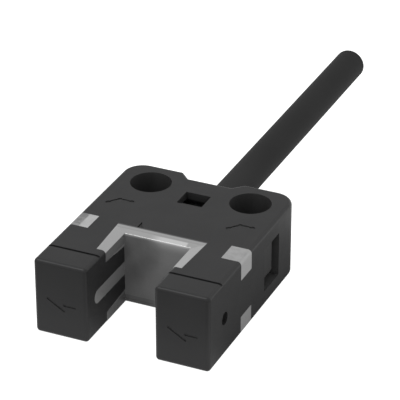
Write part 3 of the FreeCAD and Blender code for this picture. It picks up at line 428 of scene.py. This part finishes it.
SAME_PLACE, STRAIGHT_OUT = 0.001, 0.9
SMOOTH_UP_TO = math.radians(35)


def rod(radius, start, end, x=0.0, z=0.0, sides=48):
    """A cylinder along the cable's line from start to end, off its axis by x and z."""
    bpy.ops.object.select_all(action="DESELECT")
    bpy.ops.mesh.primitive_cylinder_add(
        vertices=sides, radius=radius * MM, depth=(end - start) * MM,
        location=millimetres(x, (start + end) / 2, AXIS_HEIGHT + z), rotation=(math.radians(-90), 0, 0))
    bpy.ops.object.transform_apply(location=True, rotation=True, scale=True)
    return bpy.context.object


def edit_end_face(piece, end):
    """Opens edit mode with the flat end selected, which faces away from the housing."""
    bpy.ops.object.mode_set(mode="EDIT")
    bpy.ops.mesh.select_mode(type="FACE")
    bpy.ops.mesh.select_all(action="DESELECT")
    bpy.ops.object.mode_set(mode="OBJECT")
    for face in piece.data.polygons:
        face.select = abs(face.center.y / MM - end) < SAME_PLACE and face.normal.y > STRAIGHT_OUT
    bpy.ops.object.mode_set(mode="EDIT")


def rounded_end(piece, end, radius, segments):
    """Rounds the edge of the flat end."""
    edit_end_face(piece, end)
    bpy.ops.mesh.region_to_loop()
    bpy.ops.mesh.bevel(offset=radius * MM, segments=segments, affect="EDGES")
    bpy.ops.object.mode_set(mode="OBJECT")


def sunk_end(piece, end, margin, depth):
    """Insets the flat end and pushes its middle in."""
    edit_end_face(piece, end)
    bpy.ops.mesh.inset(thickness=margin * MM, use_relative_offset=False)
    bpy.ops.mesh.extrude_region_move(TRANSFORM_OT_translate={"value": (0, -depth * MM, 0)})
    bpy.ops.object.mode_set(mode="OBJECT")


def finished(piece, name, material):
    """Names the piece, gives it its finish and lets it ride."""
    bpy.ops.object.shade_smooth_by_angle(angle=SMOOTH_UP_TO)
    piece.name = piece.data.name = name
    piece.data.materials.clear()
    piece.data.materials.append(material)
    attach(piece, "root")
    return piece


# Cable: the jacket is one straight cord, cut off square at its end, where the four cores show

CUT_LENGTH, CUT_ROUND = 0.3, 0.1
JACKET_WALL, CORE_SINK = 0.35, 0.06
LONG_STRETCH = 6 * 2 * CABLE_RADIUS

cable_line = bpy.data.curves.new("cable_jacket", "CURVE")
cable_line.dimensions = "3D"
cable_line.bevel_depth = CABLE_RADIUS * MM
cable_line.bevel_resolution = 12
cable_line.resolution_u = 24
spline = cable_line.splines.new("NURBS")
route = (CABLE_EXIT, CABLE_EXIT + LONG_STRETCH, CABLE_TIP - CUT_LENGTH)
spline.points.add(len(route) - 1)
for point, along in zip(spline.points, route):
    point.co = (*millimetres(0, along, AXIS_HEIGHT), 1)
spline.order_u = 3
spline.use_endpoint_u = True
cable = bpy.data.objects.new("cable_jacket", cable_line)
bpy.context.scene.collection.objects.link(cable)
cable.data.materials.append(cable_jacket)
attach(cable, "root")
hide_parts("cable")

cut_end = rod(CABLE_RADIUS, CABLE_TIP - CUT_LENGTH, CABLE_TIP)
rounded_end(cut_end, CABLE_TIP, CUT_ROUND, segments=4)
sunk_end(cut_end, CABLE_TIP, JACKET_WALL - CUT_ROUND, CORE_SINK)
finished(cut_end, "cable_cut_end", cable_jacket)

CORE_RADIUS, CORE_ROUND, CORE_END, CORE_OFFSET = 0.3, 0.03, CABLE_TIP - 0.02, 0.42
CONDUCTOR_RADIUS, CONDUCTOR_SINK = 0.15, 0.03
STRAND_RADIUS, STRAND_RING, STRAND_ROUND = 0.045, 0.095, 0.015
RING_STRANDS, HIDDEN_LENGTH = 6, 0.04
RING_TURNS = [math.tau * step / RING_STRANDS for step in range(RING_STRANDS)]
CORES = {
    "brown_core": (-CORE_OFFSET, CORE_OFFSET, wire_brown, "wire_brown"),
    "blue_core": (-CORE_OFFSET, -CORE_OFFSET, wire_blue, "wire_blue"),
    "black_core": (CORE_OFFSET, -CORE_OFFSET, wire_black, "wire_black"),
    "white_core": (CORE_OFFSET, CORE_OFFSET, wire_white, "wire_white"),
}
core_pieces, strands = [], []
for name, (x, z, material, slot) in CORES.items():
    core = rod(CORE_RADIUS, CABLE_TIP - CORE_SINK - HIDDEN_LENGTH, CORE_END, x, z, sides=32)
    rounded_end(core, CORE_END, CORE_ROUND, segments=3)
    sunk_end(core, CORE_END, CORE_RADIUS - CORE_ROUND - CONDUCTOR_RADIUS, CONDUCTOR_SINK)
    core_pieces.append(finished(core, name, material))
    ring = [(x + STRAND_RING * math.cos(turn), z + STRAND_RING * math.sin(turn)) for turn in RING_TURNS]
    for strand_x, strand_z in [(x, z), *ring]:
        strand = rod(STRAND_RADIUS, CORE_END - HIDDEN_LENGTH, CABLE_TIP, strand_x, strand_z, sides=12)
        rounded_end(strand, CABLE_TIP, STRAND_ROUND, segments=2)
        strands.append(strand)
bpy.ops.object.select_all(action="DESELECT")
for strand in strands:
    strand.select_set(True)
bpy.ops.object.join()
core_pieces.append(finished(bpy.context.object, "core_strands", solder))


# Floor and light. The floor is plain white to look at. It lights the arms' fronts and the cable from below

FLOOR_GREY, FLOOR_SIZE, FLOOR_DROP = 0.35, 4, 0.02
GLOW_FAR, GLOW_NEAR = 0.12, 0.97
FRONT_POOL_RISES_Y, FRONT_POOL_FALLS_Y, CABLE_POOL_RISES_Y = (-16, -10), (-10, -3), (12, 16)
LIGHT_TARGET, LIGHT_DIRECTION = millimetres(0, 2, 3), Vector((-0.36, -0.30, 0.88))
LIGHT_DISTANCE, LIGHT_SIZE, LIGHT_POWER = 0.4, 0.07, 0.35

floor_white, floor_tree, floor_shader = new_finish("floor_white")
floor_shader.inputs["Base Color"].default_value = (*grey(FLOOR_GREY), 1)
floor_shader.inputs["Roughness"].default_value = 1
floor_shader.inputs["Specular IOR Level"].default_value = 0
floor_shader.inputs["Emission Color"].default_value = (1, 1, 1, 1)
seen = add_node(floor_tree, "ShaderNodeLightPath").outputs["Is Camera Ray"]
floor_place = add_node(floor_tree, "ShaderNodeTexCoord").outputs["Object"]
_, floor_y, _ = coordinates(floor_tree, floor_place)
front_pool = all_of(floor_tree, between(floor_tree, floor_y, *FRONT_POOL_RISES_Y),
                    below(floor_tree, floor_y, *FRONT_POOL_FALLS_Y))
cable_pool = between(floor_tree, floor_y, *CABLE_POOL_RISES_Y)
pool = combined(floor_tree, "MAXIMUM", front_pool, cable_pool)
glow = between(floor_tree, pool, 0, 1, GLOW_FAR, GLOW_NEAR, smooth=False)
floor_tree.links.new(combined(floor_tree, "MAXIMUM", seen, glow), floor_shader.inputs["Emission Strength"])
bpy.ops.object.select_all(action="DESELECT")
bpy.ops.mesh.primitive_plane_add(size=FLOOR_SIZE, location=millimetres(0, 0, -FLOOR_DROP))
bpy.ops.object.transform_apply(location=True, rotation=False, scale=False)
floor = bpy.context.object
floor.name = "floor"
floor.data.materials.append(floor_white)

world = bpy.data.worlds.new("studio")
world.use_nodes = True
world.node_tree.nodes["Background"].inputs["Color"].default_value = (1, 1, 1, 1)
world.node_tree.nodes["Background"].inputs["Strength"].default_value = 1.0
bpy.context.scene.world = world
bpy.context.scene.view_settings.view_transform = "Standard"

edge_light = bpy.data.lights.new("edge_light", "AREA")
edge_light.shape = "SQUARE"
edge_light.size = LIGHT_SIZE
edge_light.energy = LIGHT_POWER
lamp = bpy.data.objects.new("edge_light", edge_light)
bpy.context.scene.collection.objects.link(lamp)
lamp_place = LIGHT_DIRECTION * LIGHT_DISTANCE
lamp_turn = (LIGHT_TARGET - lamp_place).to_track_quat("-Z", "Y").to_matrix().to_4x4()
lamp.matrix_world = Matrix.Translation(lamp_place) @ lamp_turn
